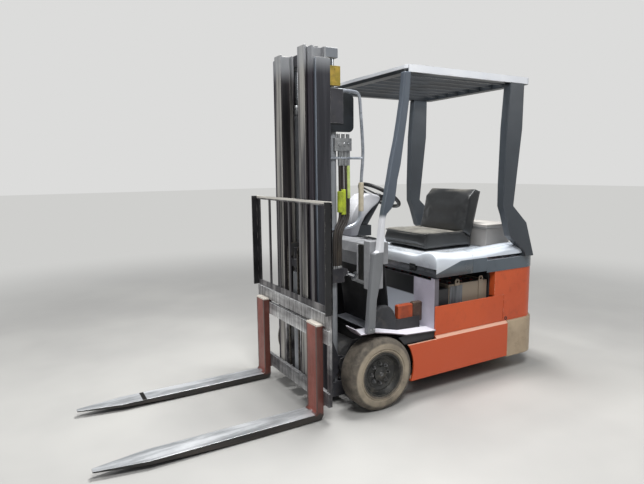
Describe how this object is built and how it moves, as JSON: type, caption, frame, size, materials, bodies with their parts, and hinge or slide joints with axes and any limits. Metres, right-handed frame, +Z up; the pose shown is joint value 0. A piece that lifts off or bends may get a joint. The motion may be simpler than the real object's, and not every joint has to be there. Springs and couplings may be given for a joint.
{
  "type": "forklift",
  "caption": "Electric three-wheel counterbalance forklift with a three-stage mast, wide load forks, an overhead guard and a hinged battery hood under the seat.",
  "frame": {"origin": "centre of the bounding box in plan, on the floor", "axes": "+X forwards towards the fork tips, +Y to the driver's left, +Z up"},
  "size_m": [3.094, 1.05, 2.2],
  "materials": {
    "tyre": "matte",
    "wheel_paint": "satin",
    "axle_paint": "satin",
    "frame_paint": "satin",
    "slate_paint": "satin",
    "battery_paint": "satin",
    "hood_paint": "gloss",
    "light_plastic": "satin",
    "dark_plastic": "matte",
    "seat_vinyl": "matte",
    "mast_paint": "satin",
    "steel": "worn",
    "chromed": "polished",
    "fork_steel": "worn"
  },
  "bodies": {
    "chassis": {"drive_axle": "axle_paint", "drive_motor": "axle_paint", "frame_sills": "frame_paint", "frame_box": "slate_paint", "battery_bulkhead": "slate_paint", "side_panels": "frame_paint", "battery_case": "battery_paint", "battery_spacer": "slate_paint", "counterweight": "frame_paint", "counterweight_base": "frame_paint", "fenders": "hood_paint", "step_panels": "hood_paint", "floor_board": "dark_plastic", "tilt_anchors": "slate_paint", "front_cowl": "light_plastic", "steering_column": "dark_plastic", "pedals": "dark_plastic", "hydraulic_levers": "dark_plastic", "guard_front_legs": "slate_paint", "guard_rear_legs": "slate_paint", "guard_roof": "slate_paint", "rear_cover": "slate_paint"},
    "wheel_left": {"drive_tyre_left": "tyre", "drive_rim_left": "wheel_paint"},
    "wheel_right": {"drive_tyre_right": "tyre", "drive_rim_right": "wheel_paint"},
    "steer_turntable": {"steer_bracket": "axle_paint"},
    "steer_wheels": {"steer_tyres": "tyre", "steer_rims": "wheel_paint"},
    "handwheel": {"steering_wheel": "dark_plastic"},
    "hood": {"battery_hood": "hood_paint", "seat_frame": "dark_plastic", "seat_cushion": "seat_vinyl", "seat_backrest": "seat_vinyl", "rear_deck": "light_plastic"},
    "mast_outer": {"mast_outer_rails": "mast_paint", "mast_outer_braces": "mast_paint", "mast_hangers": "mast_paint", "mast_pipes": "steel", "lift_cylinders": "mast_paint"},
    "tilt_barrels": {"tilt_cylinders": "mast_paint"},
    "tilt_rams": {"tilt_rods": "chromed"},
    "mast_middle": {"mast_middle_rails": "mast_paint", "mast_middle_ties": "mast_paint", "lift_rods": "chromed"},
    "mast_inner": {"mast_inner_rails": "mast_paint", "mast_inner_ties": "mast_paint", "free_lift_cylinder": "mast_paint", "chain_rear_runs": "steel"},
    "lift_crosshead": {"crosshead": "chromed", "chain_sheaves": "steel", "chain_bends": "steel", "chain_front_runs": "steel"},
    "carriage": {"fork_carriage": "mast_paint", "load_backrest": "mast_paint", "fork_left": "fork_steel", "fork_right": "fork_steel"}
  },
  "joints": [
    {"name": "wheel_left_roll", "type": "hinge", "parent": "chassis", "child": "wheel_left", "pos_m": [-0.092, 0.4475, 0.2285], "axis": [0, 1, 0], "continuous": true},
    {"name": "wheel_right_roll", "type": "hinge", "parent": "chassis", "child": "wheel_right", "pos_m": [-0.092, -0.4475, 0.2285], "axis": [0, 1, 0], "continuous": true},
    {"name": "steer_turn", "type": "hinge", "parent": "chassis", "child": "steer_turntable", "pos_m": [-1.297, 0, 0.165], "axis": [0, 0, 1], "range_deg": [-80, 80]},
    {"name": "steer_roll", "type": "hinge", "parent": "steer_turntable", "child": "steer_wheels", "pos_m": [-1.297, 0, 0.165], "axis": [0, 1, 0], "continuous": true},
    {"name": "handwheel_turn", "type": "hinge", "parent": "chassis", "child": "handwheel", "pos_m": [-0.437, 0, 1.295], "axis": [-0.5299, 0, 0.848], "continuous": true},
    {"name": "hood_open", "type": "hinge", "parent": "chassis", "child": "hood", "pos_m": [-1.427, 0, 0.852], "axis": [0, -1, 0], "range_deg": [0, 45]},
    {"name": "mast_tilt", "type": "hinge", "parent": "chassis", "child": "mast_outer", "pos_m": [0.05, 0, 0.26], "axis": [0, 1, 0], "range_deg": [-5, 5]},
    {"name": "tilt_foot", "type": "hinge", "parent": "chassis", "child": "tilt_barrels", "pos_m": [-0.216, 0, 0.735], "axis": [0, 1, 0], "range_deg": [-5, 5]},
    {"name": "tilt_extend", "type": "slide", "parent": "tilt_barrels", "child": "tilt_rams", "axis": [0.9118, 0, 0.4107], "range_m": [-0.055, 0.055]},
    {"name": "lift_middle", "type": "slide", "parent": "mast_outer", "child": "mast_middle", "axis": [0, 0, 1], "range_m": [0, 1.45]},
    {"name": "lift_inner", "type": "slide", "parent": "mast_middle", "child": "mast_inner", "axis": [0, 0, 1], "range_m": [0, 1.45]},
    {"name": "carriage_lift", "type": "slide", "parent": "mast_inner", "child": "carriage", "axis": [0, 0, 1], "range_m": [0, 1.3], "deforming": ["chain_front_runs"]},
    {"name": "crosshead_lift", "type": "slide", "parent": "mast_inner", "child": "lift_crosshead", "axis": [0, 0, 1], "range_m": [0, 0.65], "deforming": ["chain_rear_runs"]}
  ],
  "couplings": [
    {"joint": "tilt_foot", "follows": "mast_tilt", "ratio": 0.80514},
    {"joint": "tilt_extend", "follows": "mast_tilt", "m_per_rad": 0.54234},
    {"joint": "lift_inner", "follows": "lift_middle", "ratio": 1},
    {"joint": "crosshead_lift", "follows": "carriage_lift", "ratio": 0.5}
  ]
}
